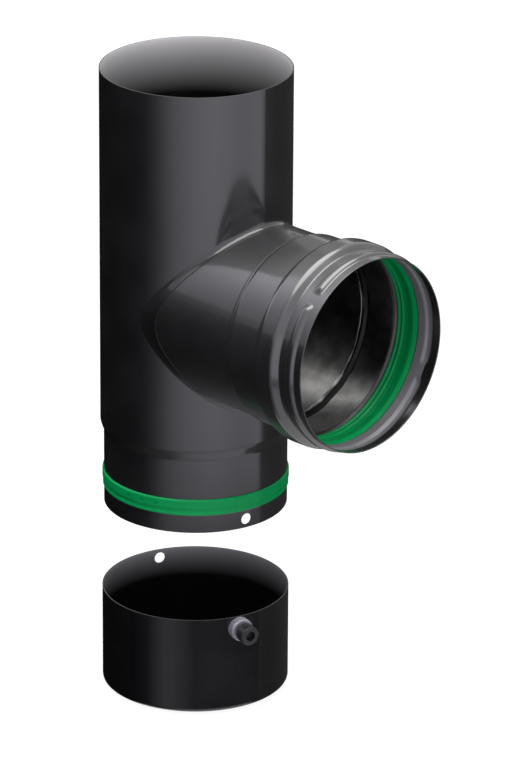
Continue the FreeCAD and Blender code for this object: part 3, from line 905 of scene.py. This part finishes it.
@dataclass
class Studio:
    """Camera, white surroundings, pale floor and the cards that the gloss shows."""

    place: Triple = (1.56918833, -1.54196238, 0.83107267)
    forward: Triple = (-0.65477024, 0.65931019, -0.36957543)
    roll: float = 0.006390557
    lens: float = 260.5274
    sensor: float = 36.0
    camera_azimuth: float = -44.4986
    diffuse_level: float = 0.30
    floor_gap: float = 0.5 * MM
    floor_half: float = 6.0
    floor_shadow: float = 0.12
    floor_grey: float = 0.9
    floor_roughness: float = 0.9
    cards: tuple[Card, ...] = (
        Card("card_front_left", (-85.0, -41.0), (-0.735, 0.30),
             ((0.0, 0.0), (0.5, 0.03), (0.8, 0.22), (1.0, 0.5)), PAINT_TINT),
        Card("card_front", (-41.0, 21.0), (-0.735, 0.30),
             ((0.0, 0.5), (0.2, 1.0), (0.43, 1.4), (0.66, 1.7), (1.0, 1.95)), PAINT_TINT),
        Card("card_front_right", (21.0, 84.0), (-0.735, 0.30),
             ((0.0, 1.95), (0.35, 1.7), (0.6, 1.5), (1.0, 1.6)), PAINT_TINT),
        Card("card_low", (-85.0, 84.0), (-1.0, -0.735),
             ((0.0, 0.0), (0.14, 0.05), (0.27, 0.45), (0.33, 0.45), (0.5, 0.0), (1.0, 0.0)), PAINT_TINT),
        Card("card_upper_front", (-55.0, 82.0), (0.42, 2.3),
             ((0.0, 1.4), (0.55, 1.5), (1.0, 2.2)), PAINT_TINT),
        Card("card_upper_left", (-125.0, -55.0), (0.45, 1.9),
             ((0.0, 3.6), (0.5, 0.9), (1.0, 0.5)), PAINT_TINT),
        Card("flag_upper_left", (-185.0, -125.0), (0.45, 1.9), ((0.0, 0.3), (1.0, 2.0))),
        Card("card_above", (-180.0, 180.0), (1.95, 1.9), ((0.0, 7.2), (1.0, 7.2)), radius=(0.02, 1.25)),
        Card("flag_left", (-185.0, -85.0), (-2.4, 0.45), ((0.0, 0.0), (1.0, 0.01))),
        Card("flag_right", (84.0, 178.0), (-2.4, 0.30), ((0.0, 0.10), (1.0, 0.02))),
        Card("card_step", (-85.0, 84.0), (-4.2, -1.0),
             ((0.0, 0.0), (0.25, 0.2), (0.42, 0.9), (0.65, 1.2), (1.0, 1.0)), PAINT_TINT),
    )

    def camera(self) -> None:
        """Set the camera at the photograph's viewing angle."""
        data = bpy.data.cameras.new("camera")
        data.lens, data.sensor_width = self.lens, self.sensor
        eye = bpy.data.objects.new("camera", data)
        bpy.context.scene.collection.objects.link(eye)
        ahead = Vector(self.forward).normalized()
        right = ahead.cross(Vector((0.0, 0.0, 1.0))).normalized()
        up = right.cross(ahead)
        turned = right * math.cos(self.roll) + up * math.sin(self.roll)
        raised = up * math.cos(self.roll) - right * math.sin(self.roll)
        axes = Matrix((turned, raised, -ahead)).transposed().to_4x4()
        eye.matrix_world = Matrix.Translation(Vector(self.place)) @ axes
        bpy.context.scene.camera = eye

    def surroundings(self) -> None:
        """White for camera, glossy and transmission rays, and a plain level for the rest."""
        world = bpy.data.worlds.new("studio")
        world.use_nodes = True
        bpy.context.scene.world = world
        graph = NodeGraph(world.node_tree)
        rays = graph.add("ShaderNodeLightPath")
        seen = graph.math("MAXIMUM", rays.outputs["Is Camera Ray"], rays.outputs["Is Glossy Ray"])
        seen = graph.math("MAXIMUM", seen, rays.outputs["Is Transmission Ray"])
        background = world.node_tree.nodes["Background"]
        background.inputs["Color"].default_value = (*WHITE, 1.0)
        graph.put(graph.blend(seen, self.diffuse_level, 1.0), background.inputs["Strength"])

    def floor(self) -> None:
        """Pale floor that keeps a faint shadow of the object."""
        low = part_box("cap_shell")[0].z - self.floor_gap
        reach = self.floor_half
        corners = [Vector((x * reach, y * reach, low)) for x, y in ((-1, -1), (1, -1), (1, 1), (-1, 1))]
        floor = mesh_piece("floor", corners, [(0, 1, 2, 3)])
        material = bpy.data.materials.new("pale_floor")
        material.use_nodes = True
        graph = NodeGraph(material.node_tree)
        shader = material.node_tree.nodes["Principled BSDF"]
        shader.inputs["Base Color"].default_value = (*[self.floor_grey] * 3, 1.0)
        shader.inputs["Roughness"].default_value = self.floor_roughness
        glow, mixed = graph.add("ShaderNodeEmission"), graph.add("ShaderNodeMixShader")
        graph.put(1.0 - self.floor_shadow, mixed.inputs[0])
        graph.put(shader.outputs[0], mixed.inputs[1])
        graph.put(glow.outputs[0], mixed.inputs[2])
        graph.put(mixed.outputs[0], material.node_tree.nodes["Material Output"].inputs["Surface"])
        floor.data.materials.append(material)
        floor.visible_glossy = False
        floor.visible_shadow = False
        floor.visible_diffuse = False

    def build(self) -> None:
        """Set up the whole studio."""
        self.camera()
        self.surroundings()
        self.floor()
        for card in self.cards:
            card.build(self.camera_azimuth)
        scene = bpy.context.scene
        scene.view_settings.view_transform = "Standard"
        LOG.info("studio: %d cards", len(self.cards))


def main() -> None:
    """Build and dress the tee in order."""
    logging.basicConfig(level=logging.INFO, format="%(name)s: %(message)s")
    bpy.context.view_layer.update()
    effects = Effects()
    Studio().build()
    sheets = Steelwork(effects).dress()
    SocketSheet().build(sheets["branch_socket"])
    Gaskets().dress()
    WeldSeams().build()
    CapLock().dress()


if __name__ == "__main__":
    main()
